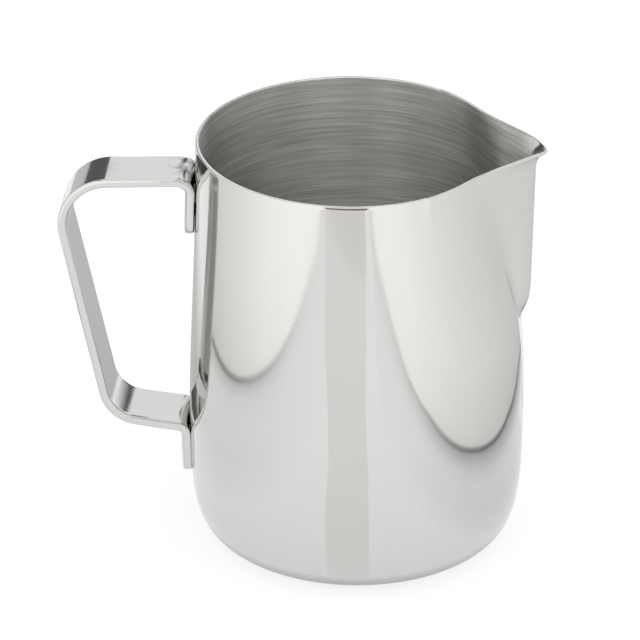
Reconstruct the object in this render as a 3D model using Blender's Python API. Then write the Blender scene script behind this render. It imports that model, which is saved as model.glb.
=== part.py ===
"""Milk frothing pitcher: a drawn steel cup with a pressed spout and a welded strap handle.

Metres, +Z up. The origin is on the cup's axis, at the level of the surface it stands on.
The spout points along +X and the handle along -X.
"""

import math

import bmesh
import bpy
from mathutils import Matrix, Vector

MM = 0.001

# --- driving dimensions ---------------------------------------------------------------------
HEIGHT = 110.6 * MM            # level of the rim
SHEET = 0.9 * MM               # thickness of the drawn sheet
BASE_RADIUS = 30.0 * MM        # edge of the flat underside
BELLY_RADIUS = 43.7 * MM       # widest part of the cup
BELLY_LEVEL = 34.0 * MM
RIM_RADIUS = 41.5 * MM         # rim on the handle's side, where it stays round
BASE_FULLNESS = 12.9 * MM      # how long the outline keeps its direction, leaving the base
CORNER_FULLNESS = 26.5 * MM    # the same, below the belly
BELLY_FULLNESS = 19.9 * MM     # above it
RIM_FULLNESS = 29.6 * MM       # and below the rim

PRESS_START = 52.0 * MM        # the press tool begins to move the wall at this level
PINCH_DEPTH = 4.9 * MM         # how far the wall is drawn in beside the spout, at the rim
PINCH_REACH = math.radians(42.0)
PINCH_ONSET = 1.2              # how gently that begins with height
PINCH_FALLOFF = 1.3            # and how it fades round the cup
SPOUT_FOOT = 59.0 * MM         # level where the two spout creases meet
CREASE_HALF_WIDTH = 21.2 * MM  # half the distance between the creases, at the rim
CREASE_SOFTNESS = 2.4 * MM
FOOT_SOFTNESS = 0.4            # share of that softness left at the spout's foot
SPOUT_REACH = math.radians(60.0)  # the gutter lies inside this angle
RIDGE_RADIUS = 45.4 * MM       # the spout's ridge, just under the lip
RIDGE_LEAN = 0.8 * MM          # how far the ridge leans in from there down to the foot
SHOULDER_LEVEL = 66.9 * MM     # here the ridge turns in towards the wall
SHOULDER_SLOPE = 0.55
SHOULDER_ROUNDING = 1.5 * MM
FLANK_SLOPE = 0.86             # how far a flank runs in for each step sideways, at the rim
FLANK_STEEPENING = 0.9         # and how much more it runs in at the foot
NOSE_ROUNDING = 3.3 * MM       # rounding of the spout's nose, seen from above
LIP_START = 104.5 * MM         # the lip begins to curl out at this level
LIP_BEND_RADIUS = 5.4 * MM
LIP_TURN = math.radians(61.0)
LIP_HALF_ANGLE = math.radians(38.0)
LIP_FALLOFF = 1.8              # how the curl fades from the nose to the creases
LIP_SHORTENING = 0.35          # how much of its height the sheet gives up by curling
NOSE_DROOP = 1.0 * MM
NOSE_HALF_ANGLE = math.radians(6.0)

STRAP_TOP_WIDTH = 14.4 * MM    # the strap widens towards its lower end
STRAP_FOOT_WIDTH = 17.2 * MM
STRAP_THICKNESS = 2.35 * MM
STRAP_EDGE = 0.6 * MM          # rounding of the strap's long edges
STRAP_CORNER = 3.0 * MM        # rounding of its four corners
FLANGE_GAP = 0.3 * MM          # between a flange and the wall
UPPER_FLANGE_END = 84.8 * MM
LOWER_FLANGE_END = 16.6 * MM
GRIP_TOP = (-78.3 * MM, 98.4 * MM)     # x and z where the top run and the grip would meet
GRIP_BOTTOM = (-64.2 * MM, 32.2 * MM)  # x and z where the grip and the lower run would meet
TOP_RUN_LEVEL = 100.1 * MM
LOWER_RUN_LEVEL = 29.8 * MM
BEND_RADII = (3.5 * MM, 12.2 * MM, 9.6 * MM, 2.6 * MM)  # of the middle line, from the top down
BEND_STEPS = 7
CORNER_STEPS = 4
HUG_REACH = 4.5 * MM           # how far from the wall the strap stops following its curve
HUG_START = 0.6                # share of that reach in which it follows the curve fully

WELD_RADIUS = 1.8 * MM
WELD_LENGTH = 1.0 * MM
WELD_CLEARANCE = 0.3 * MM
WELD_LEVELS = {
    "upper_weld_top": 94.4 * MM,
    "upper_weld_low": 89.4 * MM,
    "lower_weld_top": 24.7 * MM,
    "lower_weld_low": 19.9 * MM,
}

AROUND = 66                    # vertices round the cup
ANGLE_BUNCHING = 0.62          # how much closer they stand at the spout
CORNER_RINGS = 14
WALL_RINGS = 12
LIP_RINGS = 4
DISC_SEGMENTS = 22


# --- scene and materials --------------------------------------------------------------------
def clear_scene():
    for old in list(bpy.data.objects):
        bpy.data.objects.remove(old, do_unlink=True)


def steel(name, colour, roughness):
    material = bpy.data.materials.new(name)
    material.use_nodes = True
    shader = material.node_tree.nodes["Principled BSDF"]
    shader.inputs["Base Color"].default_value = (*colour, 1.0)
    shader.inputs["Metallic"].default_value = 1.0
    shader.inputs["Roughness"].default_value = roughness
    return material


def face_outwards(work):
    work.normal_update()
    bmesh.ops.recalc_face_normals(work, faces=work.faces)


def add_object(name, work, material):
    """Turn a bmesh into an object of its own."""
    mesh = bpy.data.meshes.new(name)
    work.to_mesh(mesh)
    work.free()
    mesh.materials.append(material)
    mesh.shade_smooth()
    piece = bpy.data.objects.new(name, mesh)
    bpy.context.collection.objects.link(piece)
    return piece


# --- the cup's wall -------------------------------------------------------------------------
def bezier(points, t):
    """A point on a cubic Bezier curve through four control points."""
    a, b, c, d = (Vector(point) for point in points)
    s = 1.0 - t
    return a * s ** 3 + b * 3 * s * s * t + c * 3 * s * t * t + d * t ** 3


CORNER_CURVE = (
    (BASE_RADIUS, 0.0),
    (BASE_RADIUS + BASE_FULLNESS, 0.0),
    (BELLY_RADIUS, BELLY_LEVEL - CORNER_FULLNESS),
    (BELLY_RADIUS, BELLY_LEVEL),
)
WALL_CURVE = (
    (BELLY_RADIUS, BELLY_LEVEL),
    (BELLY_RADIUS, BELLY_LEVEL + BELLY_FULLNESS),
    (RIM_RADIUS, HEIGHT - RIM_FULLNESS),
    (RIM_RADIUS, HEIGHT),
)


def round_profile():
    """Radius and height up the cup before pressing, from the underside to the rim."""
    points = [bezier(CORNER_CURVE, step / CORNER_RINGS) for step in range(CORNER_RINGS + 1)]
    points += [bezier(WALL_CURVE, step / WALL_RINGS) for step in range(1, WALL_RINGS + 1)]
    below = [point for point in points if point.y < LIP_START]
    levels = [LIP_START + (HEIGHT - LIP_START) * step / LIP_RINGS for step in range(LIP_RINGS + 1)]
    return below + [Vector((RIM_RADIUS, level)) for level in levels]


def smooth_max(a, b, softness):
    """The larger value, with the corner between them filled where they differ less than softness."""
    overlap = max(0.0, 1.0 - abs(a - b) / softness)
    return max(a, b) + 0.25 * softness * overlap * overlap


def pinched_radius(radius, angle, height):
    """Radius of the wall beside the spout, drawn in towards the creases."""
    rise = max(0.0, (height - PRESS_START) / (HEIGHT - PRESS_START))
    depth = PINCH_DEPTH * math.sin(0.5 * math.pi * rise) ** PINCH_ONSET
    crease_angle = math.asin(CREASE_HALF_WIDTH * spout_rise(height) / radius)
    beyond = max(0.0, abs(angle) - crease_angle)
    return radius - depth * math.exp(-((beyond / PINCH_REACH) ** PINCH_FALLOFF))


def spout_rise(height):
    """0 at the spout's foot and below it, 1 at the rim."""
    return max(0.0, (height - SPOUT_FOOT) / (HEIGHT - SPOUT_FOOT))


def ridge_radius(height):
    """The spout's ridge: nearly upright, turning into the wall at a soft shoulder near its foot."""
    lean = RIDGE_LEAN * (1.0 - spout_rise(height))
    below = (SHOULDER_LEVEL - height) / SHOULDER_ROUNDING
    shoulder = SHOULDER_SLOPE * SHOULDER_ROUNDING * math.log1p(math.exp(below))
    return RIDGE_RADIUS - lean - shoulder


def gutter_radius(angle, height):
    """Radius where a ray at this angle meets the spout's rounded V."""
    slope = FLANK_SLOPE + FLANK_STEEPENING * (1.0 - spout_rise(height)) ** 2
    nose = slope * NOSE_ROUNDING
    apex = ridge_radius(height) + nose
    cosine, sine = math.cos(angle), math.sin(angle)
    reach = apex * apex - nose * nose
    spread = cosine * cosine - (slope * sine) ** 2
    return reach / (apex * cosine + math.sqrt((apex * cosine) ** 2 - spread * reach))


def pressed_point(radius, angle, height):
    """Where the press tool leaves the point of the round cup at this radius, angle and height."""
    if height <= PRESS_START:
        return Vector((radius * math.cos(angle), radius * math.sin(angle), height))
    wall = pinched_radius(radius, angle, height)
    if height <= SPOUT_FOOT or abs(angle) > SPOUT_REACH:
        return Vector((wall * math.cos(angle), wall * math.sin(angle), height))
    softness = CREASE_SOFTNESS * (FOOT_SOFTNESS + (1.0 - FOOT_SOFTNESS) * spout_rise(height))
    pressed = smooth_max(wall, gutter_radius(angle, height), softness)
    point = Vector((pressed * math.cos(angle), pressed * math.sin(angle), height))
    return curl_lip(point, angle, height)


def curl_lip(point, angle, height):
    """Bend the top of the spout outwards, most at the nose and not at all at the creases."""
    share = max(0.0, 1.0 - (angle / LIP_HALF_ANGLE) ** 2) ** LIP_FALLOFF
    climb = height - LIP_START
    if climb <= 0.0 or share == 0.0:
        return point
    progress = climb / (HEIGHT - LIP_START)
    turn = LIP_TURN * progress
    out = LIP_BEND_RADIUS * (1.0 - math.cos(turn)) * share
    drop = (climb - LIP_BEND_RADIUS * math.sin(turn)) * share * LIP_SHORTENING
    droop = NOSE_DROOP * progress ** 2 * math.exp(-((angle / NOSE_HALF_ANGLE) ** 2))
    return point + Vector((out, 0.0, -drop - droop))


def make_body(material):
    """Spin the round cup, press the spout, then give the sheet its thickness."""
    work = bmesh.new()
    profile = [work.verts.new((point.x, 0.0, point.y)) for point in round_profile()]
    edges = [work.edges.new(pair) for pair in zip(profile, profile[1:])]
    bmesh.ops.spin(work, geom=profile + edges, cent=(0, 0, 0), axis=(0, 0, 1), dvec=(0, 0, 0),
                   angle=2 * math.pi, steps=AROUND, use_merge=True)
    base_rim = [edge for edge in work.edges
                if edge.is_boundary and all(vert.co.z < 1e-6 for vert in edge.verts)]
    base = bmesh.ops.contextual_create(work, geom=base_rim)["faces"]
    face_outwards(work)
    if base[0].normal.z > 0.0:
        bmesh.ops.reverse_faces(work, faces=work.faces)
    for vert in work.verts:
        even_angle = math.atan2(vert.co.y, vert.co.x)
        angle = even_angle - ANGLE_BUNCHING * math.sin(even_angle)
        vert.co = pressed_point(math.hypot(vert.co.x, vert.co.y), angle, vert.co.z)
    body = add_object("pitcher_body", work, material)
    sheet = body.modifiers.new("sheet", "SOLIDIFY")
    sheet.thickness = SHEET
    sheet.offset = -1.0
    sheet.use_even_offset = True
    return body


# --- the handle -----------------------------------------------------------------------------
def wall_radius_at(height):
    """Radius of the round cup at a height, halving the span of the curve until it is found."""
    curve = CORNER_CURVE if height < BELLY_LEVEL else WALL_CURVE
    low, high = 0.0, 1.0
    for _ in range(30):
        middle = 0.5 * (low + high)
        if bezier(curve, middle).y < height:
            low = middle
        else:
            high = middle
    return bezier(curve, low).x


def flange_x(height):
    """Middle of a flange's thickness, at the strap's centreline."""
    return -(wall_radius_at(height) + FLANGE_GAP + 0.5 * STRAP_THICKNESS)


def rounded_route(corners, radii, arc_steps):
    """Points and travel directions along straight runs joined by arcs."""
    route = [(corners[0], (corners[1] - corners[0]).normalized())]
    for index, radius in enumerate(radii, start=1):
        corner = corners[index]
        arriving = (corner - corners[index - 1]).normalized()
        leaving = (corners[index + 1] - corner).normalized()
        turn = arriving.angle_signed(leaving)
        setback = radius * math.tan(0.5 * abs(turn))
        start = corner - arriving * setback
        for step in range(arc_steps + 1):
            share = step / arc_steps
            heading = rotated(arriving, -turn * share)
            chord = 2 * radius * math.sin(0.5 * abs(turn) * share)
            route.append((start + rotated(arriving, -0.5 * turn * share) * chord, heading))
    route.append((corners[-1], (corners[-1] - corners[-2]).normalized()))
    return route


def rotated(vector, angle):
    cosine, sine = math.cos(angle), math.sin(angle)
    return Vector((vector.x * cosine - vector.y * sine, vector.x * sine + vector.y * cosine))


def strap_section(half):
    """Outline across the strap, from its half width: (across, through) pairs with rounded corners."""
    thick, edge = 0.5 * STRAP_THICKNESS, STRAP_EDGE
    flat = [half - edge, 0.5 * (half - edge), 0.0, -0.5 * (half - edge), -(half - edge)]
    slope = edge * (1.0 - math.sqrt(0.5))
    side = [(-half + slope, thick - slope), (-half, thick - edge),
            (-half, edge - thick), (-half + slope, slope - thick)]
    other = [(-across, -through) for across, through in side]
    return [(across, thick) for across in flat] + side + [(-across, -thick) for across in flat] + other


def hug_wall(point, across):
    """Curve the flanges round the wall: the strap's edges move in towards the cup."""
    radius = wall_radius_at(point.z)
    sagitta = radius - math.sqrt(radius * radius - across * across)
    reach = (-point.x - radius) / HUG_REACH
    share = min(1.0, max(0.0, 1.0 + HUG_START - reach))
    return point + Vector((sagitta * share * share * (3.0 - 2.0 * share), 0.0, 0.0))


def corner_steps():
    """Distances from the strap's end at which its rounded corners have a ring."""
    turns = [0.5 * math.pi * step / CORNER_STEPS for step in range(CORNER_STEPS + 1)]
    return [STRAP_CORNER * (1.0 - math.cos(turn)) for turn in turns]


def add_corner_stops(route):
    """The route again, with extra places in both flanges where the rounded corners need them."""
    (first, down), (last, along) = route[0], route[-1]
    head = [(first + down * distance, down) for distance in corner_steps()]
    tail = [(last - along * distance, along) for distance in reversed(corner_steps())]
    return head + route[1:-1] + tail


def half_widths(route):
    """Half the strap's width at each place of its route."""
    steps = [(b[0] - a[0]).length for a, b in zip(route, route[1:])]
    total, gone, halves = sum(steps), 0.0, []
    for step in steps + [0.0]:
        half = 0.5 * (STRAP_TOP_WIDTH + (STRAP_FOOT_WIDTH - STRAP_TOP_WIDTH) * gone / total)
        short = max(0.0, STRAP_CORNER - min(gone, total - gone))
        halves.append(half - STRAP_CORNER + math.sqrt(max(0.0, STRAP_CORNER ** 2 - short ** 2)))
        gone += step
    return halves


def make_handle(material):
    """Sweep the strap's section along its bends, from the upper flange to the lower one."""
    corners = [Vector((flange_x(UPPER_FLANGE_END), UPPER_FLANGE_END)),
               Vector((flange_x(TOP_RUN_LEVEL), TOP_RUN_LEVEL)), Vector(GRIP_TOP), Vector(GRIP_BOTTOM),
               Vector((flange_x(LOWER_RUN_LEVEL), LOWER_RUN_LEVEL)),
               Vector((flange_x(LOWER_FLANGE_END), LOWER_FLANGE_END))]
    route = add_corner_stops(rounded_route(corners, BEND_RADII, BEND_STEPS))
    work = bmesh.new()
    rings = []
    for (place, heading), half in zip(route, half_widths(route)):
        normal = Vector((-heading.y, heading.x))
        ring = []
        for across, through in strap_section(half):
            spot = place + normal * through
            point = Vector((spot.x, across, spot.y))
            ring.append(work.verts.new(hug_wall(point, across)))
        rings.append([work.edges.new(pair) for pair in zip(ring, ring[1:] + ring[:1])])
    for near, far in zip(rings, rings[1:]):
        bmesh.ops.bridge_loops(work, edges=near + far)
    for end in (rings[0], rings[-1]):
        bmesh.ops.contextual_create(work, geom=end)
    face_outwards(work)
    return add_object("handle_strap", work, material)


def cut_weld_seat(handle, name, level, material):
    """Sink a shallow round seat into the flange, where the weld melted it."""
    depth = WELD_LENGTH + WELD_CLEARANCE
    cutter = add_disc(name + "_seat", level, WELD_RADIUS + WELD_CLEARANCE, -WELD_LENGTH, depth, material)
    cutter.hide_render = True
    cutter.display_type = "WIRE"
    cut = handle.modifiers.new(name, "BOOLEAN")
    cut.operation = "DIFFERENCE"
    cut.object = cutter


def add_disc(name, level, radius, start, depth, material):
    """A disc whose axis points out of the wall, from start to depth beyond the flange's face."""
    face = wall_radius_at(level) + FLANGE_GAP
    work = bmesh.new()
    half_step = Matrix.Rotation(math.pi / DISC_SEGMENTS, 4, "Z")
    bmesh.ops.create_cone(work, cap_ends=True, segments=DISC_SEGMENTS, radius1=radius,
                          radius2=radius, depth=depth - start, matrix=half_step)
    for vert in work.verts:
        along = vert.co.z + 0.5 * (depth + start)
        vert.co = Vector((-(face + along), vert.co.y, level + vert.co.x))
    return add_object(name, work, material)


# --- the whole pitcher ----------------------------------------------------------------------
def main():
    clear_scene()
    polished = steel("polished_steel", (0.80, 0.79, 0.78), 0.08)
    satin = steel("strap_steel", (0.78, 0.77, 0.76), 0.14)
    weld_steel = steel("weld_steel", (0.55, 0.53, 0.50), 0.45)
    make_body(polished)
    handle = make_handle(satin)
    for name, level in WELD_LEVELS.items():
        cut_weld_seat(handle, name, level, satin)
        add_disc(name, level, WELD_RADIUS, 0.0, WELD_LENGTH, weld_steel)


main()
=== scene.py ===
# %% [markdown]
# # A milk frothing pitcher in steel
#
# A frothing pitcher is a cup drawn from one disc of stainless steel, with a pouring spout pressed
# out of its wall and a bent strip of steel spot-welded on as a handle. There is very little to
# model, so everything rests on two things: clean, slightly soft shapes, and steel that reflects
# the way the real finishes do. The outside is mirror-polished, the inside keeps the fine turned
# grain of the lathe, and the rim is a narrow ground edge.
#
# The engineering model is loaded first. It fixes every size and place, and the finer pieces made
# here stand exactly where its pieces stand.

# %% Load the frame
import math

import bmesh
import bpy
from mathutils import Matrix, Vector


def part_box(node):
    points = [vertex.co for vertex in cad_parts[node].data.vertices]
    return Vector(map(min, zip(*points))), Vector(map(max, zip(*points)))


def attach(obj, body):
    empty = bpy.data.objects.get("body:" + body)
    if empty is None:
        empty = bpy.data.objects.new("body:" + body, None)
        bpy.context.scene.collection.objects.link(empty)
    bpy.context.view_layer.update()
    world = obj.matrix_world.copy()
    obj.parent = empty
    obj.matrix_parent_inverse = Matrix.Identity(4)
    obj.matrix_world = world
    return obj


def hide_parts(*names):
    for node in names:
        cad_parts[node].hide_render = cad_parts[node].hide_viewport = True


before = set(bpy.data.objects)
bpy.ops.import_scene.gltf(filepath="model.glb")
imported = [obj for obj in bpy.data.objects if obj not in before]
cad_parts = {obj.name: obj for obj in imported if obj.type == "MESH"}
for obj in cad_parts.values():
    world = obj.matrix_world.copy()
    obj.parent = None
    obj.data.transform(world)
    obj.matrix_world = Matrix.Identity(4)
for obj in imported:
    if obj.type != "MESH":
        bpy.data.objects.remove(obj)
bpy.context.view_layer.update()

MM = 0.001
print("frame nodes:", sorted(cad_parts))

# %% [markdown]
# ## Sizes
#
# The cup's height and widest radius are read from the frame, so that the two models cannot drift
# apart. The other numbers are the press tool's and the strap's, in the same units and with the
# same meaning as in the engineering model.

# %% Sizes of the cup
cup_low, cup_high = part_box("pitcher_body")
HEIGHT = cup_high.z
BELLY_RADIUS = 0.5 * (cup_high.y - cup_low.y)
SHEET = 0.9 * MM
BASE_RADIUS = 30.0 * MM
BELLY_LEVEL = 34.0 * MM
RIM_RADIUS = 41.5 * MM
BASE_FULLNESS = 12.9 * MM
CORNER_FULLNESS = 26.5 * MM
BELLY_FULLNESS = 19.9 * MM
RIM_FULLNESS = 29.6 * MM

# the pinch beside the spout: where it starts, how deep it gets and how softly it begins
PRESS_START = 52.0 * MM
PRESS_ONSET = 0.12
PINCH_DEPTH = 4.9 * MM
PINCH_REACH = math.radians(42.0)
PINCH_ONSET = 1.2
PINCH_FALLOFF = 1.3
# the gutter between the two creases, and its ridge
SPOUT_FOOT = 59.0 * MM
CREASE_HALF_WIDTH = 21.2 * MM
CREASE_SOFTNESS = 2.1 * MM
FOOT_SOFTNESS = 0.4
SPOUT_REACH = math.radians(60.0)
RIDGE_RADIUS = 45.4 * MM
RIDGE_LEAN = 0.8 * MM
SHOULDER_LEVEL = 66.9 * MM
SHOULDER_SLOPE = 0.55
SHOULDER_ROUNDING = 1.5 * MM
FLANK_SLOPE = 0.86
FLANK_STEEPENING = 0.9
NOSE_ROUNDING = 3.3 * MM
# the curl of the lip
LIP_START = 104.5 * MM
LIP_BEND_RADIUS = 5.4 * MM
LIP_TURN = math.radians(61.0)
LIP_HALF_ANGLE = math.radians(38.0)
LIP_FALLOFF = 1.8
LIP_SHORTENING = 0.35
NOSE_DROOP = 1.0 * MM
NOSE_HALF_ANGLE = math.radians(6.0)
print("cup: %.1f mm tall, %.1f mm across" % (1000 * HEIGHT, 2000 * BELLY_RADIUS))

# %% [markdown]
# ## The cup's outline
#
# A drawn cup has no hard corner between base and wall: the sheet flows round the die. Two Bezier
# curves that share a vertical tangent at the belly describe that in a few numbers, and give as many
# points as the fine mesh wants. The points only have to lie closer together where the curve is
# tight, which equal steps along a Bezier curve nearly do.

# %% The outline before pressing


def bezier(points, t):
    """A point on a cubic Bezier curve through four control points."""
    a, b, c, d = (Vector(point) for point in points)
    s = 1.0 - t
    return a * s ** 3 + b * 3 * s * s * t + c * 3 * s * t * t + d * t ** 3


CORNER_CURVE = (
    (BASE_RADIUS, 0.0),
    (BASE_RADIUS + BASE_FULLNESS, 0.0),
    (BELLY_RADIUS, BELLY_LEVEL - CORNER_FULLNESS),
    (BELLY_RADIUS, BELLY_LEVEL),
)
WALL_CURVE = (
    (BELLY_RADIUS, BELLY_LEVEL),
    (BELLY_RADIUS, BELLY_LEVEL + BELLY_FULLNESS),
    (RIM_RADIUS, HEIGHT - RIM_FULLNESS),
    (RIM_RADIUS, HEIGHT),
)
RIM_CROWN = 0.06 * MM  # the polishing wheel rounds the wall off just under the rim
LIP_CLEARANCE = 0.4 * MM
BASE_RINGS, CORNER_RINGS, WALL_RINGS, LIP_RINGS = 8, 40, 66, 12
HALVINGS = 30


def outline_at(height):
    """The outline's point at a height, found by halving the stretch of curve it lies in."""
    curve = CORNER_CURVE if height < BELLY_LEVEL else WALL_CURVE
    low, high = 0.0, 1.0
    for _ in range(HALVINGS):
        middle = 0.5 * (low + high)
        if bezier(curve, middle).y < height:
            low = middle
        else:
            high = middle
    return bezier(curve, low)


def cup_outline():
    """(radius, height) from the centre of the base up to the rim, in even steps in the lip."""
    base = [Vector((BASE_RADIUS * step / BASE_RINGS, 0.0)) for step in range(BASE_RINGS)]
    corner = [bezier(CORNER_CURVE, step / CORNER_RINGS) for step in range(CORNER_RINGS + 1)]
    wall = [bezier(WALL_CURVE, step / WALL_RINGS) for step in range(1, WALL_RINGS + 1)]
    below = [point for point in base + corner + wall if point.y < LIP_START - LIP_CLEARANCE]
    lip_step = (HEIGHT - LIP_START) / LIP_RINGS
    lip = [outline_at(LIP_START + lip_step * step) for step in range(LIP_RINGS)]
    return below + lip + [Vector((RIM_RADIUS - RIM_CROWN, HEIGHT))]


print("points in the outline:", len(cup_outline()))

# %% [markdown]
# ## The press tool
#
# The spout is pressed from the inside while a ring holds the outside. Beside the spout the wall is
# drawn in towards two soft creases, and between the creases the sheet becomes a V-shaped gutter
# with a rounded nose. At the very top the lip is curled outwards so that the milk lets go cleanly.
#
# This could be sculpted, or modelled with a few hundred vertices by hand. A formula for the wall's
# radius at each angle and height is shorter, stays perfectly smooth, and is the same at any mesh
# density, so the fine model and the engineering model agree.

# %% Wall and gutter


def smooth_max(a, b, softness):
    """The larger value, with the corner filled where the two differ by less than softness."""
    overlap = max(0.0, 1.0 - abs(a - b) / softness)
    return max(a, b) + 0.25 * softness * overlap * overlap


def spout_rise(height):
    """0 at the spout's foot and below it, 1 at the rim."""
    return max(0.0, (height - SPOUT_FOOT) / (HEIGHT - SPOUT_FOOT))


def pinched_radius(radius, angle, height):
    """Radius of the wall beside the spout, drawn in towards the creases."""
    rise = max(0.0, (height - PRESS_START) / (HEIGHT - PRESS_START))
    rise *= rise / (rise + PRESS_ONSET)
    depth = PINCH_DEPTH * math.sin(0.5 * math.pi * min(1.0, rise)) ** PINCH_ONSET
    crease_angle = math.asin(CREASE_HALF_WIDTH * spout_rise(height) / radius)
    beyond = max(0.0, abs(angle) - crease_angle)
    return radius - depth * math.exp(-((beyond / PINCH_REACH) ** PINCH_FALLOFF))


def ridge_radius(height):
    """The spout's ridge: nearly upright, turning into the wall at a soft shoulder near its foot."""
    lean = RIDGE_LEAN * (1.0 - spout_rise(height))
    below = (SHOULDER_LEVEL - height) / SHOULDER_ROUNDING
    shoulder = SHOULDER_SLOPE * SHOULDER_ROUNDING * math.log1p(math.exp(below))
    return RIDGE_RADIUS - lean - shoulder


def gutter_radius(angle, height):
    """Radius where a ray at this angle meets the spout's rounded V."""
    slope = FLANK_SLOPE + FLANK_STEEPENING * (1.0 - spout_rise(height)) ** 2
    nose = slope * NOSE_ROUNDING
    apex = ridge_radius(height) + nose
    cosine, sine = math.cos(angle), math.sin(angle)
    reach = apex * apex - nose * nose
    spread = cosine * cosine - (slope * sine) ** 2
    return reach / (apex * cosine + math.sqrt((apex * cosine) ** 2 - spread * reach))


# %% [markdown]
# The lip is bent over a roller: its sheet keeps its length, so what goes out comes down. The bend
# is full at the nose and fades to nothing at the creases, where the rim is plain again.

# %% Lip


def curl_lip(point, angle, height):
    """Bend the top of the spout outwards, most at the nose and not at all at the creases."""
    share = max(0.0, 1.0 - (angle / LIP_HALF_ANGLE) ** 2) ** LIP_FALLOFF
    climb = height - LIP_START
    if climb <= 0.0 or share == 0.0:
        return point
    progress = climb / (HEIGHT - LIP_START)
    turn = LIP_TURN * progress
    out = LIP_BEND_RADIUS * (1.0 - math.cos(turn)) * share
    drop = (climb - LIP_BEND_RADIUS * math.sin(turn)) * share * LIP_SHORTENING
    droop = NOSE_DROOP * progress ** 2 * math.exp(-((angle / NOSE_HALF_ANGLE) ** 2))
    return point + Vector((out, 0.0, -drop - droop))


def pressed_point(radius, angle, height):
    """Where the press tool leaves the point of the round cup at this radius, angle and height."""
    if height <= PRESS_START:
        return Vector((radius * math.cos(angle), radius * math.sin(angle), height))
    wall = pinched_radius(radius, angle, height)
    if height <= SPOUT_FOOT or abs(angle) > SPOUT_REACH:
        return Vector((wall * math.cos(angle), wall * math.sin(angle), height))
    softness = CREASE_SOFTNESS * (FOOT_SOFTNESS + (1.0 - FOOT_SOFTNESS) * spout_rise(height))
    pressed = smooth_max(wall, gutter_radius(angle, height), softness)
    point = Vector((pressed * math.cos(angle), pressed * math.sin(angle), height))
    return curl_lip(point, angle, height)


nose = pressed_point(RIM_RADIUS, 0.0, HEIGHT)
print("the nose of the lip is at x %.1f, z %.1f mm" % (1000 * nose.x, 1000 * nose.z))

# %% [markdown]
# ## Steel from nodes
#
# Polished metal has almost no colour of its own. What tells one finish from another is how sharp
# its reflections are and in which direction they smear. So each finish below is a metallic
# Principled shader whose roughness and bump carry the detail:
#
# - the mirror outside has a faint waviness from the drawing, hairline scratches and wipe marks;
# - the turned inside has fine rings of grain that run round the cup;
# - the ground rim and the strap are bright with short grain of their own.
#
# A few helpers keep the node code short. Noise values gather round a half, so each ramp below picks
# its limits close to that.

# %% Node helpers


def new_steel(name, colour, roughness):
    """An empty metallic material, with the tree and its shader."""
    material = bpy.data.materials.new(name)
    material.use_nodes = True
    tree = material.node_tree
    shader = tree.nodes["Principled BSDF"]
    shader.inputs["Metallic"].default_value = 1.0
    shader.inputs["Base Color"].default_value = (*colour, 1.0)
    shader.inputs["Roughness"].default_value = roughness
    return material, tree, shader


def put(tree, kind, **values):
    """Add a node and set its inputs by name, with _ for a space."""
    node = tree.nodes.new(kind)
    for key, value in values.items():
        node.inputs[key.replace("_", " ")].default_value = value
    return node


def maths(tree, operation, first, second):
    """A Math node whose inputs are sockets or plain numbers."""
    node = tree.nodes.new("ShaderNodeMath")
    node.operation = operation
    for socket, value in zip(node.inputs, (first, second)):
        if isinstance(value, (int, float)):
            socket.default_value = value
        else:
            tree.links.new(value, socket)
    return node.outputs[0]


def ramp(tree, value, from_low, from_high, to_low, to_high):
    """Map a value from one range to another, clamped at both ends."""
    node = tree.nodes.new("ShaderNodeMapRange")
    tree.links.new(value, node.inputs["Value"])
    limits = (from_low, from_high, to_low, to_high)
    for name, limit in zip(("From Min", "From Max", "To Min", "To Max"), limits):
        node.inputs[name].default_value = limit
    return node.outputs["Result"]


def product(tree, *factors):
    """All the factors multiplied together."""
    total = factors[0]
    for factor in factors[1:]:
        total = maths(tree, "MULTIPLY", total, factor)
    return total


def noise(tree, vector, scale, detail=3.0, roughness=0.5):
    """Cloudy noise from 0 to 1, with its average near a half."""
    node = put(tree, "ShaderNodeTexNoise", Scale=scale, Detail=detail, Roughness=roughness)
    tree.links.new(vector, node.inputs["Vector"])
    return node.outputs["Fac"]


def tint(tree, amount, first, second):
    """A colour from the first to the second, by a value from 0 to 1."""
    node = tree.nodes.new("ShaderNodeMix")
    node.data_type = "RGBA"
    tree.links.new(amount, node.inputs["Factor"])
    for name, colour in (("A", first), ("B", second)):
        if isinstance(colour, tuple):
            node.inputs[name].default_value = (*colour, 1.0)
        else:
            tree.links.new(colour, node.inputs[name])
    return node.outputs["Result"]


def emboss(tree, shader, height, distance):
    """Raise the surface by a height pattern, before any bump that is already there."""
    node = put(tree, "ShaderNodeBump", Strength=1.0, Distance=distance)
    tree.links.new(height, node.inputs["Height"])
    before = shader.inputs["Normal"].links
    if before:
        tree.links.new(before[0].from_socket, node.inputs["Normal"])
    tree.links.new(node.outputs["Normal"], shader.inputs["Normal"])


def object_place(tree):
    """The place on the piece, which is also the place in the frame."""
    return tree.nodes.new("ShaderNodeTexCoord").outputs["Object"]


def object_axes(tree):
    """The same place as three sockets: x, y and z."""
    split = tree.nodes.new("ShaderNodeSeparateXYZ")
    tree.links.new(object_place(tree), split.inputs[0])
    return split.outputs


def describe(material):
    """Print how much went into a finish."""
    print("%s: %d nodes" % (material.name, len(material.node_tree.nodes)))


# %% [markdown]
# The grains of the cup run round its axis. Object coordinates are bent for that: x and y keep only
# their direction, so the noise changes slowly round the axis and meets itself without a seam. The
# third coordinate adds the height and, on the base, the radius. It is squeezed hard, which gives
# fine rings on wall and base alike.

# %% Coordinates round the axis


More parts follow.
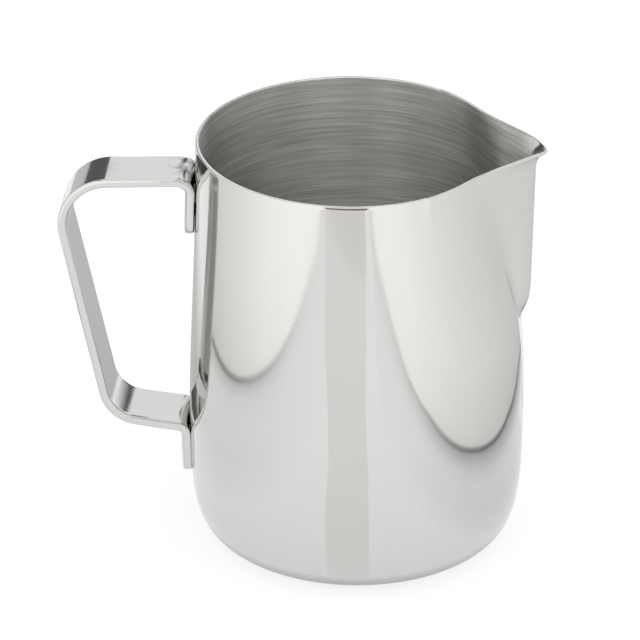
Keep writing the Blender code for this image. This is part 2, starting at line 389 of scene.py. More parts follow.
def round_axis(tree, along, across):
    """Object coordinates wrapped round Z: along is the grain's length and across its width."""
    x, y, z = object_axes(tree)
    square = maths(tree, "ADD", maths(tree, "MULTIPLY", x, x), maths(tree, "MULTIPLY", y, y))
    radius = maths(tree, "SQRT", square, 0.0)
    turns = maths(tree, "DIVIDE", BELLY_RADIUS / along, radius)
    run = maths(tree, "ADD", z, maths(tree, "MINIMUM", radius, BASE_RADIUS))
    join = tree.nodes.new("ShaderNodeCombineXYZ")
    bent = (maths(tree, "MULTIPLY", x, turns), maths(tree, "MULTIPLY", y, turns),
            maths(tree, "DIVIDE", run, across))
    for value, socket in zip(bent, join.inputs):
        tree.links.new(value, socket)
    return join.outputs[0]


# %% [markdown]
# ### Painted shade behind the upper flange
#
# Behind the upper flange the narrow gap between strap and wall lies in deep shade, so the wall
# there
# is painted dark: painted shade round the flange. A share that is 1 inside a box and fades at its
# faces marks the place.

# %% Painted shade behind the flange
# painted shade: the near-black colour of the wall in the shaded gap behind the upper flange
GAP_SHADE_COLOUR = (0.015, 0.015, 0.015)
GAP_SHADE_HALF_WIDTH = (7.7 * MM, 8.3 * MM)
GAP_SHADE_FOOT = (84.6 * MM, 85.2 * MM)
GAP_SHADE_TOP = (94.0 * MM, 98.0 * MM)
GAP_SHADE_FRONT = (-39.0 * MM, -38.0 * MM)


def gap_shade_share(tree):
    """1 on the wall behind the upper flange, where the painted shade goes, 0 everywhere else."""
    x, y, z = object_axes(tree)
    beside = ramp(tree, maths(tree, "ABSOLUTE", y, 0.0), *GAP_SHADE_HALF_WIDTH, 1.0, 0.0)
    above, below = ramp(tree, z, *GAP_SHADE_FOOT, 0.0, 1.0), ramp(tree, z, *GAP_SHADE_TOP, 1.0, 0.0)
    return product(tree, beside, above, below, ramp(tree, x, *GAP_SHADE_FRONT, 1.0, 0.0))


print("seam, mm: %.1f to %.1f" % (1000 * GAP_SHADE_FOOT[0], 1000 * GAP_SHADE_TOP[1]))

# %% [markdown]
# ### Mirror outside
#
# Stainless steel reflects about two thirds of the light, slightly warm. Its polish is broken by
# three things that the eye picks up without noticing: a long, shallow waviness that bends straight
# reflections, wipe marks that dull the mirror in patches, and sparse hairlines.

# %% Mirror-polished steel
STEEL = (0.67, 0.665, 0.655)
WIPED_STEEL = (0.70, 0.692, 0.68)
WIPES_PER_METRE = 38.0
WAVES_PER_METRE = 24.0
WAVE_HEIGHT = 0.05 * MM
HAIRLINE_LENGTH = 9.0 * MM
HAIRLINE_WIDTH = 0.22 * MM
HAIRLINE_DEPTH = 0.0006 * MM
BEST_POLISH, WORST_POLISH, SCRATCH_ROUGHNESS = 0.045, 0.085, 0.06


def mirror_steel():
    material, tree, shader = new_steel("mirror_steel", STEEL, BEST_POLISH)
    wipes = noise(tree, object_place(tree), WIPES_PER_METRE, 4.0, 0.6)
    hairlines = noise(tree, round_axis(tree, HAIRLINE_LENGTH, HAIRLINE_WIDTH), 1.0, 2.0)
    scratched = ramp(tree, hairlines, 0.62, 0.75, 0.0, 1.0)
    dulled = maths(tree, "ADD", ramp(tree, wipes, 0.35, 0.75, BEST_POLISH, WORST_POLISH),
                   maths(tree, "MULTIPLY", scratched, SCRATCH_ROUGHNESS))
    tree.links.new(dulled, shader.inputs["Roughness"])
    steel = tint(tree, wipes, WIPED_STEEL, STEEL)
    # the wall in the gap behind the upper flange is painted dark here, as painted shade
    tree.links.new(tint(tree, gap_shade_share(tree), steel, GAP_SHADE_COLOUR), shader.inputs["Base Color"])
    emboss(tree, shader, noise(tree, object_place(tree), WAVES_PER_METRE, 1.0), WAVE_HEIGHT)
    emboss(tree, shader, hairlines, HAIRLINE_DEPTH)
    return material


polished = mirror_steel()
describe(polished)

# %% [markdown]
# ### Turned inside
#
# Inside, the cup is only brushed on the lathe. The grain is coarse enough to see: bright and dark
# streaks a centimetre or two long. Anisotropy smears each reflection across the grain: the tangent
# runs round the axis, and a quarter turn sets the smear upright. Towards the nose the grain fades
# into polish, because the lip was bent and buffed after the turning.

# %% Turned steel
LIP_POLISH = (41.0 * MM, 45.5 * MM)  # from here to here along x, the lip turns from grain to polish
DARK_GRAIN = (0.60, 0.59, 0.57)
LIGHT_GRAIN = (0.92, 0.91, 0.89)
STREAK_LENGTH, STREAK_WIDTH = 26.0 * MM, 0.8 * MM
LINE_LENGTH, LINE_WIDTH = 22.0 * MM, 0.26 * MM
LIP_ROUGHNESS, GRAIN_ROUGHNESS, LINE_ROUGHNESS = 0.16, 0.38, 0.16
GRAIN_DEPTH, LINE_DEPTH = 0.012 * MM, 0.004 * MM


def turned_steel():
    material, tree, shader = new_steel("turned_steel", LIGHT_GRAIN, GRAIN_ROUGHNESS)
    shader.inputs["Anisotropic"].default_value = 1.0
    shader.inputs["Anisotropic Rotation"].default_value = 0.25
    tangent = tree.nodes.new("ShaderNodeTangent")
    tangent.direction_type = "RADIAL"
    tangent.axis = "Z"
    tree.links.new(tangent.outputs[0], shader.inputs["Tangent"])
    coarse = noise(tree, round_axis(tree, STREAK_LENGTH, STREAK_WIDTH), 1.0, 3.0, 0.6)
    lines = noise(tree, round_axis(tree, LINE_LENGTH, LINE_WIDTH), 1.0, 1.0)
    grain = maths(tree, "MULTIPLY", maths(tree, "ADD", coarse, lines), 0.5)
    turned = ramp(tree, object_axes(tree)["X"], *LIP_POLISH, 1.0, 0.0)
    bright_lines = product(tree, turned, ramp(tree, lines, 0.60, 0.74, 0.0, 1.0))
    streaks = product(tree, turned, ramp(tree, grain, 0.38, 0.64, -0.5, 0.5))
    colour = tint(tree, maths(tree, "ADD", 0.5, streaks), DARK_GRAIN, LIGHT_GRAIN)
    tree.links.new(colour, shader.inputs["Base Color"])
    rough = maths(tree, "ADD", ramp(tree, turned, 0.0, 1.0, LIP_ROUGHNESS, GRAIN_ROUGHNESS),
                  maths(tree, "MULTIPLY", bright_lines, LINE_ROUGHNESS))
    tree.links.new(rough, shader.inputs["Roughness"])
    emboss(tree, shader, product(tree, turned, grain), GRAIN_DEPTH)
    emboss(tree, shader, bright_lines, LINE_DEPTH)
    return material


turned = turned_steel()
describe(turned)

# %% [markdown]
# ### Ground rim
#
# The rim was cut, so it is ground on a belt afterwards. It is far too narrow to mirror anything
# clearly: a bright, half-dull edge with short ticks across it is all that shows.

# %% Ground rim
RIM_STEEL = (0.78, 0.775, 0.765)
TICK_LENGTH, TICK_WIDTH, TICK_DEPTH = 0.5 * MM, 0.3 * MM, 0.01 * MM


def ground_steel():
    material, tree, shader = new_steel("ground_rim_steel", RIM_STEEL, 0.22)
    ticks = noise(tree, round_axis(tree, TICK_LENGTH, TICK_WIDTH), 1.0, 2.0)
    tree.links.new(ramp(tree, ticks, 0.3, 0.7, 0.16, 0.32), shader.inputs["Roughness"])
    emboss(tree, shader, ticks, TICK_DEPTH)
    return material


ground = ground_steel()
describe(ground)

# %% [markdown]
# ## The cup
#
# The outline is spun round the axis, pressed, and only then given its thickness, exactly as the
# real sheet has one thickness everywhere. The Solidify modifier also sorts the finishes: the outer
# skin takes the first material, the inner skin the second and the rim the third. A small bevel
# breaks the rim's two edges, as a belt grinder would.
#
# The vertices stand closer together at the spout, where the shape turns quickly. A sine added to
# the angle bunches them there without any special case.

# %% Make the cup
AROUND = 288
ANGLE_BUNCHING = 0.62
RIM_EDGE = 0.22 * MM
RIM_EDGE_SEGMENTS = 3
SHARPEST_BEND = math.radians(50.0)
MERGE_DISTANCE = 0.001 * MM


def add_piece(name, work, materials):
    """A bmesh becomes an object with its own materials, shaded smooth."""
    mesh = bpy.data.meshes.new(name)
    work.to_mesh(mesh)
    work.free()
    for material in materials:
        mesh.materials.append(material)
    mesh.shade_smooth()
    piece = bpy.data.objects.new(name, mesh)
    bpy.context.collection.objects.link(piece)
    return piece


def make_cup():
    """Spin the outline, press the spout, then leave thickness and rim to two modifiers."""
    work = bmesh.new()
    outline = [work.verts.new((point.x, 0.0, point.y)) for point in cup_outline()]
    edges = [work.edges.new(pair) for pair in zip(outline, outline[1:])]
    bmesh.ops.spin(work, geom=outline + edges, cent=(0, 0, 0), axis=(0, 0, 1), dvec=(0, 0, 0),
                   angle=2 * math.pi, steps=AROUND, use_merge=True)
    bmesh.ops.remove_doubles(work, verts=work.verts, dist=MERGE_DISTANCE)
    work.normal_update()
    middle = min(work.faces, key=lambda face: face.calc_center_median().length)
    if middle.normal.z > 0.0:
        bmesh.ops.reverse_faces(work, faces=work.faces)
    for vert in work.verts:
        even_angle = math.atan2(vert.co.y, vert.co.x)
        angle = even_angle - ANGLE_BUNCHING * math.sin(even_angle)
        vert.co = pressed_point(math.hypot(vert.co.x, vert.co.y), angle, vert.co.z)
    cup = add_piece("steel_cup", work, [polished, turned, ground])
    sheet = cup.modifiers.new("sheet", "SOLIDIFY")
    sheet.thickness = SHEET
    sheet.offset = -1.0
    sheet.use_even_offset = True
    sheet.material_offset = 1
    sheet.material_offset_rim = 2
    edge = cup.modifiers.new("ground edge", "BEVEL")
    edge.width = RIM_EDGE
    edge.segments = RIM_EDGE_SEGMENTS
    edge.limit_method = "ANGLE"
    edge.angle_limit = SHARPEST_BEND
    return cup


cup = make_cup()
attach(cup, "root")
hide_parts("pitcher_body")
print("cup faces before thickness:", len(cup.data.polygons))

# %% [markdown]
# ## The strap handle
#
# The handle is cut from flat bar, its edges and corners are rounded, and it is bent four times in a
# press. Modelling it in the same order is the easiest way: a flat bar with rounded edges is a cube
# with two bevels, and it only needs enough cuts across it to bend smoothly. Each vertex then goes
# to the point of the bent route that lies as far along it as the vertex lay along the bar.
#
# The route is the same line with rounded corners as in the engineering model. It is kept here as a
# chain of runs and bends that can be walked by distance.

# %% Sizes of the strap
STRAP_TOP_WIDTH = 14.4 * MM
STRAP_FOOT_WIDTH = 17.2 * MM
STRAP_THICKNESS = 2.35 * MM
STRAP_EDGE = 0.62 * MM
STRAP_CORNER = 3.0 * MM
FLANGE_GAP = 0.3 * MM
# the route: heights of the flanges' ends and of the runs, and the grip's two corners as (x, z)
UPPER_FLANGE_END = 84.8 * MM
LOWER_FLANGE_END = 16.6 * MM
GRIP_TOP = (-78.3 * MM, 98.4 * MM)
GRIP_BOTTOM = (-64.2 * MM, 32.2 * MM)
TOP_RUN_LEVEL = 100.1 * MM
LOWER_RUN_LEVEL = 29.8 * MM
BEND_RADII = (3.5 * MM, 12.2 * MM, 9.6 * MM, 2.6 * MM)
WELD_NODES = ("upper_weld_top", "upper_weld_low", "lower_weld_top", "lower_weld_low")
WELD_LEVELS = {name: 0.5 * (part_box(name)[0].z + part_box(name)[1].z) for name in WELD_NODES}
print("weld levels, mm:", {name: round(1000 * level, 1) for name, level in WELD_LEVELS.items()})

# %% The bent route


def flange_x(height):
    """Middle of a flange's thickness, at the strap's centreline."""
    return -(outline_at(height).x + FLANGE_GAP + 0.5 * STRAP_THICKNESS)


def rotated(vector, angle):
    """A flat vector turned by an angle."""
    cosine, sine = math.cos(angle), math.sin(angle)
    return Vector((vector.x * cosine - vector.y * sine, vector.x * sine + vector.y * cosine))


def strap_chain():
    """Runs and bends of the strap's middle line: (start, heading, length, total turn)."""
    corners = [Vector((flange_x(UPPER_FLANGE_END), UPPER_FLANGE_END)),
               Vector((flange_x(TOP_RUN_LEVEL), TOP_RUN_LEVEL)),
               Vector(GRIP_TOP), Vector(GRIP_BOTTOM),
               Vector((flange_x(LOWER_RUN_LEVEL), LOWER_RUN_LEVEL)),
               Vector((flange_x(LOWER_FLANGE_END), LOWER_FLANGE_END))]
    chain, here = [], corners[0]
    for index, radius in enumerate(BEND_RADII, start=1):
        arriving = (corners[index] - corners[index - 1]).normalized()
        leaving = (corners[index + 1] - corners[index]).normalized()
        turn = -arriving.angle_signed(leaving)
        setback = radius * math.tan(0.5 * abs(turn))
        bend_start = corners[index] - arriving * setback
        chain.append((here, arriving, (bend_start - here).length, 0.0))
        chain.append((bend_start, arriving, radius * abs(turn), turn))
        here = corners[index] + leaving * setback
    chain.append((here, (corners[-1] - here).normalized(), (corners[-1] - here).length, 0.0))
    return chain


def walk(chain, distance):
    """Place and heading on the route at a distance from the upper flange's end."""
    for start, heading, length, turn in chain:
        if distance <= length or (start, heading) == chain[-1][:2]:
            break
        distance -= length
    if turn == 0.0:
        return start + heading * distance, heading
    share = distance / length
    chord = 2.0 * (length / abs(turn)) * math.sin(0.5 * abs(turn) * share)
    return start + rotated(heading, 0.5 * turn * share) * chord, rotated(heading, turn * share)


strap_route = strap_chain()
strap_length = sum(length for _, _, length, _ in strap_route)
print("flat length of the strap: %.1f mm" % (1000 * strap_length))

# %% [markdown]
# The flanges are not flat: they are formed to the wall's curve, so the strap's edges follow it
# inwards. A resistance welder also leaves two shallow round marks on the outer face of each
# flange, where its electrode pressed. Both are small moves of the bent bar's vertices.

# %% Forming the flanges
HUG_REACH = 4.5 * MM  # how far from the wall the curve of the flanges reaches into the runs
HUG_START = 0.6
EDGE_TIGHTNESS = 0.30 * MM  # the flanges are curved a little tighter than the wall
MARK_RADIUS = 2.3 * MM
MARK_DEPTH = 0.16 * MM
FLANGE_LIMIT = -48.0 * MM  # everything nearer the cup than this is flange or its bend
OUTER_FACE = 0.3 * STRAP_THICKNESS


def hug_wall(point, across):
    """Curve the flanges round the wall: the strap's edges move in towards the cup."""
    radius = outline_at(point.z).x
    sagitta = radius - math.sqrt(radius * radius - across * across)
    reach = (-point.x - radius) / HUG_REACH
    share = min(1.0, max(0.0, 1.0 + HUG_START - reach))
    tight = EDGE_TIGHTNESS * (2.0 * across / STRAP_TOP_WIDTH) ** 2
    return point + Vector(((sagitta + tight) * share * share * (3.0 - 2.0 * share), 0.0, 0.0))


def press_marks(point, through):
    """Sink the electrode marks into the flange's outer face."""
    if through < OUTER_FACE or point.x < FLANGE_LIMIT:
        return point
    for level in WELD_LEVELS.values():
        distance = math.hypot(point.y, point.z - level) / MARK_RADIUS
        if distance < 1.0:
            return point + Vector((MARK_DEPTH * (1.0 - distance ** 4) ** 2, 0.0, 0.0))
    return point


print("electrode marks: %d, %.2f mm deep" % (len(WELD_LEVELS), 1000 * MARK_DEPTH))

# %% [markdown]
# ### Strap steel
#
# The bar is polished along its length before it is bent, so its grain follows the strap: very fine
# across, long along it. Bending and handling leave some deeper scratches, and the bend above the
# upper flange is coloured darker in blotches.

# %% Strap finish
# the bend above the upper flange is coloured darker in blotches, near black on the steel
BLOTCHED_DARK_STEEL = (0.16, 0.16, 0.165)
DARK_BLOTCH_START = (-49.5 * MM, -46.0 * MM)
DARK_BLOTCH_FOOT = (95.0 * MM, 98.0 * MM)
DARK_BLOTCH_SIDE = (-5.0 * MM, -1.0 * MM)
STRAP_GRAIN = (90.0, 3200.0, 90.0)
STRAP_GRAIN_DEPTH, STRAP_WAVE_HEIGHT = 0.0012 * MM, 0.03 * MM


def dark_blotch_share(tree):
    """Darker blotches on the bend above the upper flange, most of them on its far half."""
    x, y, z = object_axes(tree)
    blotches = ramp(tree, noise(tree, object_place(tree), 260.0, 4.0, 0.6), 0.46, 0.62, 0.0, 0.8)
    along = ramp(tree, x, *DARK_BLOTCH_START, 0.0, 1.0)
    above = ramp(tree, z, *DARK_BLOTCH_FOOT, 0.0, 1.0)
    return product(tree, along, above, ramp(tree, y, *DARK_BLOTCH_SIDE, 0.0, 1.0), blotches)


def strap_steel():
    material, tree, shader = new_steel("strap_steel", STEEL, 0.1)
    stretch = put(tree, "ShaderNodeMapping", Scale=STRAP_GRAIN)
    tree.links.new(object_place(tree), stretch.inputs["Vector"])
    grain = noise(tree, stretch.outputs[0], 1.0, 3.0)
    wear = noise(tree, object_place(tree), 120.0, 4.0, 0.6)
    scuffs = ramp(tree, wear, 0.55, 0.8, 0.0, 0.12)
    tree.links.new(maths(tree, "ADD", ramp(tree, grain, 0.3, 0.7, 0.07, 0.14), scuffs),
                   shader.inputs["Roughness"])
    colour = tint(tree, dark_blotch_share(tree), STEEL, BLOTCHED_DARK_STEEL)
    tree.links.new(colour, shader.inputs["Base Color"])
    emboss(tree, shader, noise(tree, object_place(tree), 60.0, 1.0), STRAP_WAVE_HEIGHT)
    emboss(tree, shader, grain, STRAP_GRAIN_DEPTH)
    return material


bright = strap_steel()
describe(bright)

# %% [markdown]
# ### Bending the bar
#
# The bar starts as a cube of the strap's size. Its four upright edges become the rounded corners of
# the flanges, all the others its soft edges, and planes cut it across wherever it has to bend. Only
# then are the vertices moved to the route.

# %% Make the strap
BEND_CUT = math.radians(5.0)
FEWEST_BEND_CUTS = 6
FLANGE_CUT = 0.45 * MM
RUN_CUT = 5.0 * MM
STRAP_COLUMNS = 20
CORNER_SEGMENTS, EDGE_SEGMENTS = 8, 5
NEARLY_NONE = 1e-6


def cuts_along(chain):
    """Distances at which the flat bar is cut: close in the flanges and bends, wide in the runs."""
    cuts, begin = [], 0.0
    for index, (_, _, length, turn) in enumerate(chain):
        if turn:
            count = max(FEWEST_BEND_CUTS, round(abs(turn) / BEND_CUT))
        elif index in (0, len(chain) - 1):
            count = round(length / FLANGE_CUT)
        else:
            count = max(1, round(length / RUN_CUT))
        cuts += [begin + length * step / count for step in range(count)]
        begin += length
    return cuts[1:]


def cut_bar(work, place, direction):
    """Add a ring of edges where a plane crosses the bar."""
    bmesh.ops.bisect_plane(work, geom=work.verts[:] + work.edges[:] + work.faces[:], dist=1e-7,
                           plane_co=place, plane_no=direction)


def height_span(edge):
    """How far an edge reaches through the flat bar's thickness."""
    return abs(edge.verts[0].co.z - edge.verts[1].co.z)


def flat_bar():
    """The bar before bending, lying along x from 0 to its length."""
    work = bmesh.new()
    bmesh.ops.create_cube(work, size=1.0)
    bmesh.ops.scale(work, vec=(strap_length, STRAP_TOP_WIDTH, STRAP_THICKNESS), verts=work.verts)
    bmesh.ops.translate(work, vec=(0.5 * strap_length, 0.0, 0.0), verts=work.verts)
    foot = [vert for vert in work.verts if vert.co.x > 0.5 * strap_length]
    bmesh.ops.scale(work, vec=(1.0, STRAP_FOOT_WIDTH / STRAP_TOP_WIDTH, 1.0), verts=foot)
    corners = [edge for edge in work.edges if height_span(edge) > 0.5 * STRAP_THICKNESS]
    bmesh.ops.bevel(work, geom=corners, offset=STRAP_CORNER, segments=CORNER_SEGMENTS, profile=0.5,
                    affect="EDGES", material=-1)
    outline = [edge for edge in work.edges
               if height_span(edge) < NEARLY_NONE and edge.calc_face_angle(0.0) > 1.0]
    bmesh.ops.bevel(work, geom=outline, offset=STRAP_EDGE, segments=EDGE_SEGMENTS, profile=0.5,
                    affect="EDGES", material=-1)
    for distance in cuts_along(strap_route):
        cut_bar(work, (distance, 0.0, 0.0), (1.0, 0.0, 0.0))
    for column in range(1, STRAP_COLUMNS):
        across = STRAP_FOOT_WIDTH * (column / STRAP_COLUMNS - 0.5)
        cut_bar(work, (0.0, across, 0.0), (0.0, 1.0, 0.0))
    return work


def make_strap():
    """Bend the flat bar along the route and form its flanges."""
    work = flat_bar()
    for vert in work.verts:
        distance, across, through = vert.co
        place, heading = walk(strap_route, distance)
        normal = Vector((-heading.y, heading.x))
        spot = place + normal * through
        point = hug_wall(Vector((spot.x, across, spot.y)), across)
        vert.co = press_marks(point, through)
    work.normal_update()
    bmesh.ops.recalc_face_normals(work, faces=work.faces)
    return add_piece("steel_strap", work, [bright])


strap = make_strap()
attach(strap, "root")
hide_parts("handle_strap")
print("strap faces:", len(strap.data.polygons))

# %% [markdown]
# ## The spot welds
#
# Between each flange and the wall sit two nuggets of fused steel. Little of them shows, only a
# dark blob deep in the gap, but they are what holds the handle. Each is a short disc with a bulged
# side, made from a cone whose rim is bevelled, and it fills the gap from face to face.

# %% Make the welds
NUGGET_RADIUS = 1.8 * MM
NUGGET_EDGE = 0.1 * MM
NUGGET_CLEARANCE = 0.04 * MM
NUGGET_SIDES = 32
DARK_NUGGET = (0.30, 0.27, 0.25)
LIGHT_NUGGET = (0.52, 0.49, 0.45)


def weld_steel():
    material, tree, shader = new_steel("weld_steel", LIGHT_NUGGET, 0.45)
    heat = noise(tree, object_place(tree), 700.0, 4.0, 0.6)
    tree.links.new(tint(tree, heat, DARK_NUGGET, LIGHT_NUGGET), shader.inputs["Base Color"])
    tree.links.new(ramp(tree, heat, 0.3, 0.7, 0.35, 0.6), shader.inputs["Roughness"])
    emboss(tree, shader, heat, 0.03 * MM)
    return material


def make_weld(name, level, material):
    """A short disc that follows the wall's curve at its level."""
    work = bmesh.new()
    bmesh.ops.create_cone(work, cap_ends=True, segments=NUGGET_SIDES, radius1=NUGGET_RADIUS,
                          radius2=NUGGET_RADIUS, depth=FLANGE_GAP - NUGGET_CLEARANCE)
    caps = [edge for edge in work.edges if height_span(edge) < NEARLY_NONE]
    bmesh.ops.bevel(work, geom=caps, offset=NUGGET_EDGE, segments=3, profile=0.5, affect="EDGES",
                    material=-1)
    middle = outline_at(level).x + 0.5 * FLANGE_GAP
    for vert in work.verts:
        across, up, out = vert.co.y, vert.co.x, vert.co.z
        sagitta = middle - math.sqrt(middle * middle - across * across)
        vert.co = Vector((-(middle + out) + sagitta, across, level + up))
    return add_piece(name, work, [material])


fused = weld_steel()
describe(fused)
for node_name, level in WELD_LEVELS.items():
    weld = make_weld(node_name + "_nugget", level, fused)
    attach(weld, "root")
    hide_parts(node_name)
print("welds made:", len(WELD_LEVELS))

# %% [markdown]
# ## The studio
#
# A mirror shows its surroundings, so the studio is as much a part of the finish as the shader. The
# pitcher stands on a white table under an even white sky. The table glows a little by itself,
# which is the simplest way to keep the contact shadow as faint as bounced light would.

# %% Table and sky
TABLE_SIZE = 3.0
TABLE_GREY = (0.3, 0.3, 0.3, 1.0)
TABLE_GLOW = 0.76
WHITE = (1.0, 1.0, 1.0, 1.0)


def make_table():
    material = bpy.data.materials.new("table_white")
    material.use_nodes = True
    shader = material.node_tree.nodes["Principled BSDF"]
    shader.inputs["Base Color"].default_value = TABLE_GREY
    shader.inputs["Roughness"].default_value = 0.7
    shader.inputs["Specular IOR Level"].default_value = 0.0
    shader.inputs["Emission Color"].default_value = WHITE
    shader.inputs["Emission Strength"].default_value = TABLE_GLOW
    work = bmesh.new()
    bmesh.ops.create_grid(work, x_segments=1, y_segments=1, size=0.5 * TABLE_SIZE)
    add_piece("white_table", work, [material])


def make_sky():
    world = bpy.data.worlds.new("white_sky")
    world.use_nodes = True
    background = world.node_tree.nodes["Background"]
    background.inputs["Color"].default_value = WHITE
    background.inputs["Strength"].default_value = 1.0
    bpy.context.scene.world = world


make_table()
make_sky()
bpy.context.scene.view_settings.view_transform = "Standard"
print("table: %.0f m wide" % TABLE_SIZE)

# %% [markdown]
# ### Cards
#
# Two white cards stand close to the pitcher, one on each side. In the curved wall the lower edge of
# each one becomes an arch, with a thin dark line where the card meets the table. Farther off, dark
# cards give the inside of the cup and the bends of the handle something dark to catch. Clear films
# lie on the table where it has to look shaded.
#
# All of them are seen only in reflections, so they never hide the pitcher from a camera. Each is
# made of rows of points with a value on every vertex, and the material reads that value: how bright
# a card is, or how much a film darkens the table. So the gradients need no lamps.

# %% Card maker
STUDIO_TURN = math.radians(3.8)  # from the pitcher's axes to those of the camera
CARD_COLOUR = (1.0, 0.995, 0.985, 1.0)
BLACK = (0.0, 0.0, 0.0, 1.0)


def glow_value(tree):
    """The value stored on the vertices."""
    node = tree.nodes.new("ShaderNodeAttribute")
    node.attribute_name = "glow"
    return node.outputs["Fac"]


def card_material():
    """A card that gives off as much light as its vertices say, and reflects none."""
    material = bpy.data.materials.new("card_light")
    material.use_nodes = True
    tree = material.node_tree
    shader = tree.nodes["Principled BSDF"]
    shader.inputs["Base Color"].default_value = BLACK
    shader.inputs["Specular IOR Level"].default_value = 0.0
    shader.inputs["Emission Color"].default_value = CARD_COLOUR
    tree.links.new(glow_value(tree), shader.inputs["Emission Strength"])
    return material


def shade_material(name, colour):
    """A clear film that darkens what lies under it by the share stored on its vertices."""
    material = bpy.data.materials.new(name)
    material.use_nodes = True
    tree = material.node_tree
    tree.nodes.remove(tree.nodes["Principled BSDF"])
    clear = tree.nodes.new("ShaderNodeBsdfTransparent")
    dark = put(tree, "ShaderNodeEmission", Color=colour)
    mix = tree.nodes.new("ShaderNodeMixShader")
    for value, socket in zip((glow_value(tree), clear.outputs[0], dark.outputs[0]), mix.inputs):
        tree.links.new(value, socket)
    tree.links.new(mix.outputs[0], tree.nodes["Material Output"].inputs["Surface"])
    return material


def make_card(name, rows, material):
    """Join rows of (x, y, z, glow) into a sheet that only reflections see."""
    work = bmesh.new()
    glow = work.verts.layers.float.new("glow")
    edges = []
    turn = Matrix.Rotation(STUDIO_TURN, 4, "Z")
    for row in rows:
        verts = [work.verts.new(turn @ Vector(point[:3])) for point in row]
        for vert, point in zip(verts, row):
            vert[glow] = point[3]
        edges.append([work.edges.new(pair) for pair in zip(verts, verts[1:])])
    for near, far in zip(edges, edges[1:]):
        bmesh.ops.bridge_loops(work, edges=near + far)
    card = add_piece(name, work, [material])
    card.visible_camera = False
    card.visible_diffuse = False
    card.visible_shadow = False


white = card_material()
film = shade_material("card_shadow", BLACK)
print("the studio is turned by %.1f degrees" % math.degrees(STUDIO_TURN))

# %% [markdown]
# The paths below are square to the camera: x to its right and y away from it, in metres. The third
# number is the card's brightness there and the last one is how dark its foot is. Both cards grow
# duller towards the far side of the pitcher, which rounds the wall off towards its outlines. A film
# on the table in front of each card gets darker towards its foot.

# %% White cards
RIGHT_PATH = (
    (0.092, 0.105, 0.72, 1.0), (0.097, 0.070, 0.75, 1.0), (0.103, 0.030, 0.82, 1.0),
    (0.102, -0.020, 0.93, 1.0), (0.1025, -0.055, 1.02, 0.95), (0.105, -0.090, 1.10, 0.75),
    (0.109, -0.150, 1.20, 0.50), (0.110, -0.215, 1.24, 0.35), (0.102, -0.272, 1.26, 0.25),
    (0.087, -0.303, 1.26, 0.20), (0.078, -0.330, 1.26, 0.20),
)
LEFT_PATH = (
    (-0.159, 0.080, 0.82, 0.9), (-0.159, 0.040, 0.87, 0.9), (-0.157, -0.010, 0.98, 0.9),
    (-0.156, -0.050, 1.08, 0.8), (-0.154, -0.100, 1.20, 0.65), (-0.149, -0.160, 1.27, 0.40),
    (-0.144, -0.193, 1.29, 0.30), (-0.134, -0.232, 1.29, 0.20), (-0.113, -0.272, 1.29, 0.12),
    (-0.100, -0.300, 1.29, 0.12),
)
# height of each row, and how much of the foot's darkness reaches it
CARD_ROWS = (
    (0.0, 0.78), (0.0014, 0.70), (0.0026, 0.16), (0.010, 0.09), (0.034, 0.0), (0.300, 0.0),
)
FILM_LEVEL = 0.3 * MM
# share of the way out to the card, and how dark the table is there
RIGHT_FILM = (
    (1.0, 0.66), (0.965, 0.48), (0.90, 0.33), (0.84, 0.20), (0.76, 0.14), (0.60, 0.13),
    (0.42, 0.02),
)
LEFT_FILM = ((1.0, 0.62), (0.965, 0.34), (0.90, 0.18), (0.78, 0.14), (0.60, 0.13), (0.42, 0.02))


def make_white_card(side, path, film_rows):
    """A card along a path, and the film on the table between it and the pitcher."""
    upright = [[(x, y, z, glow * (1.0 - share * depth)) for x, y, glow, depth in path]
               for z, share in CARD_ROWS]
    flat = [[(x * near, y * near, FILM_LEVEL, dark * depth) for x, y, _, depth in path]
            for near, dark in film_rows]
    make_card(side + "_card", upright, white)
    make_card(side + "_card_shadow", flat, film)


make_white_card("right", RIGHT_PATH, RIGHT_FILM)
make_white_card("left", LEFT_PATH, LEFT_FILM)
print("white cards reach %.0f mm up" % (1000 * CARD_ROWS[-1][0]))

# %% [markdown]
# A strip of slightly darker table widens from the pitcher towards the camera, where somebody
# standing there takes away some light. It gives the wall its calm central band, and its far end is
# the short dark line just under the rim.

# %% Central band
BAND_COLOUR = (0.12, 0.08, 0.04, 1.0)
# distance towards the camera, left and right edge, darkness
BAND_ROWS = (
    (0.043, -0.0085, 0.0042, 0.05), (0.0526, -0.0115, 0.0054, 0.09),
    (0.066, -0.0170, 0.0073, 0.12), (0.0795, -0.0220, 0.0094, 0.13),
    (0.094, -0.0266, 0.0107, 0.13), (0.115, -0.0315, 0.0135, 0.14),
    (0.157, -0.047, 0.0155, 0.14), (0.190, -0.062, 0.0185, 0.14),
    (0.213, -0.073, 0.0225, 0.13), (0.248, -0.086, 0.030, 0.12),
    (0.275, -0.091, 0.037, 0.12), (0.292, -0.093, 0.044, 0.12),
    (0.2955, -0.093, 0.047, 0.20), (0.345, -0.105, 0.070, 0.22),
    (0.365, -0.112, 0.077, 0.90), (1.000, -0.360, 0.240, 0.90),
)
make_card("central_band", [[(left, -y, 2 * FILM_LEVEL, dark), (right, -y, 2 * FILM_LEVEL, dark)]
                           for y, left, right, dark in BAND_ROWS],
          shade_material("band_shadow", BAND_COLOUR))
print("band rows:", len(BAND_ROWS))

# %% [markdown]
# Two more films finish the table. A ring round the foot is the shade that the pitcher itself makes,
# and a soft patch behind it is what the wall beside the handle looks into.

# %% Foot and grip films
# radius and darkness of each ring
RING_ROWS = ((0.030, 0.45), (0.0385, 0.35), (0.043, 0.10), (0.075, 0.06), (0.135, 0.0))
RING_STEPS = 48
RING_TURNS = [2 * math.pi * step / RING_STEPS for step in range(RING_STEPS + 1)]
rings = [[(radius * math.cos(turn), radius * math.sin(turn), 0.5 * FILM_LEVEL, dark)
          for turn in RING_TURNS] for radius, dark in RING_ROWS]
make_card("foot_shadow", rings, film)
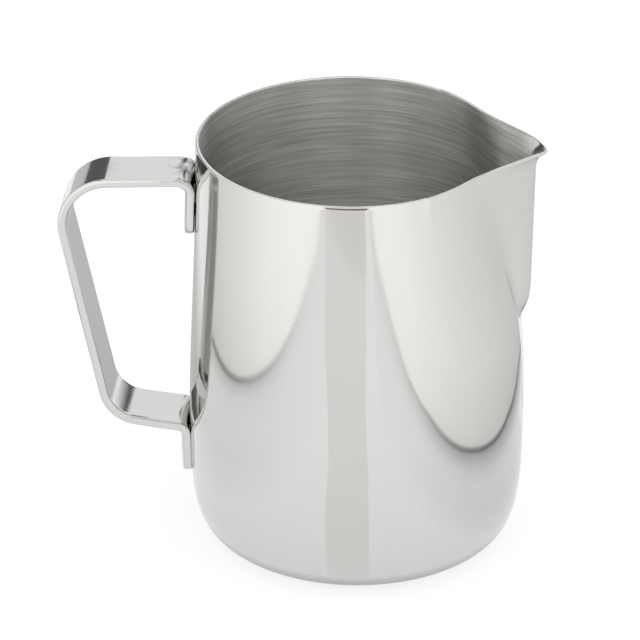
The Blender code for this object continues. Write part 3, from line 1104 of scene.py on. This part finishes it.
# x and darkness of each column, then y of each row and its share of that darkness
GRIP_COLUMNS = ((-0.15, 0.0), (-0.10, 0.42), (0.03, 0.42), (0.08, 0.0))
GRIP_ROWS = ((0.05, 0.0), (0.065, 1.0), (0.25, 1.0), (0.32, 0.0))
make_card("grip_shadow", [[(x, y, FILM_LEVEL, dark * share) for x, dark in GRIP_COLUMNS]
                          for y, share in GRIP_ROWS], film)
print("ring round the foot, mm:", [round(1000 * radius, 1) for radius, _ in RING_ROWS])

# %% [markdown]
# The dark cards are upright rectangles half a metre behind the pitcher. Each is given by its lower
# and upper edge and by its brightness at a few places from left to right. The last ones are given
# by their ends: two high ones stand on either side and one in front, where only the inside of the
# cup can see them, and a low one stands behind on the right, for the handle's own reflection.

# %% Dark cards
BACK_DISTANCE = 0.5
# lower and upper edge, then (x, brightness) from left to right
DARK_CARDS = {
    "dark_card_far_left": (0.17, 0.45, ((-0.38, 0.12), (-0.135, 0.12))),
    "grey_card_far_left": (0.0, 0.17, ((-0.60, 0.66), (-0.10, 0.66))),
    "dark_card_middle": (0.36, 0.52, ((-0.015, 0.10), (0.12, 0.10))),
    "dark_card_far_right": (0.04, 0.27, ((0.07, 0.7), (0.12, 0.12), (0.18, 0.12), (0.25, 0.7))),
}
for name, (low, high, places) in DARK_CARDS.items():
    rows = [[(x, BACK_DISTANCE, z, glow) for x, glow in places] for z in (low, high)]
    make_card(name, rows, white)

# the two ends, lower and upper edge, brightness
SIDE_CARDS = {
    "dark_side_left": ((-0.45, -0.40), (-0.45, 0.60), 0.14, 1.30, 0.08),
    "dark_side_right": ((0.45, -0.40), (0.45, 0.60), 0.14, 1.30, 0.08),
    "dark_front": ((-0.17, -0.60), (0.13, -0.60), 0.50, 1.50, 0.45),
    "dark_corner": ((0.40, 0.42), (0.60, 0.10), 0.0, 0.25, 0.10),
}
for name, (start, end, low, high, glow) in SIDE_CARDS.items():
    make_card(name, [[(*start, z, glow), (*end, z, glow)] for z in (low, high)], white)
print("dark cards:", len(DARK_CARDS) + len(SIDE_CARDS))

# %% [markdown]
# ## The camera
#
# The view is from a little over a metre away and about 27 degrees above the table. From that far
# off, through a long lens, the sides of such a small object stay straight. The camera looks at a
# point near the middle of the pitcher and is rolled by a fifth of a degree.

# %% Camera
CAMERA_PLACE = Vector((0.06496, -0.97795, 0.55439))
CAMERA_AIM = Vector((-0.00966, 0.0, 0.05886))
CAMERA_ROLL = math.radians(0.18)
FOCAL_LENGTH = 237.9
SENSOR_WIDTH = 36.0
NEAREST, FARTHEST = 0.05, 20.0

camera_data = bpy.data.cameras.new("studio_camera")
camera_data.lens = FOCAL_LENGTH
camera_data.sensor_width = SENSOR_WIDTH
camera_data.clip_start = NEAREST
camera_data.clip_end = FARTHEST
camera = bpy.data.objects.new("studio_camera", camera_data)
bpy.context.collection.objects.link(camera)
sight = (CAMERA_AIM - CAMERA_PLACE).to_track_quat("-Z", "Y").to_matrix().to_4x4()
roll = Matrix.Rotation(CAMERA_ROLL, 4, "Z")
camera.matrix_world = Matrix.Translation(CAMERA_PLACE) @ sight @ roll
bpy.context.scene.camera = camera
print("camera distance: %.3f m" % (CAMERA_PLACE - CAMERA_AIM).length)
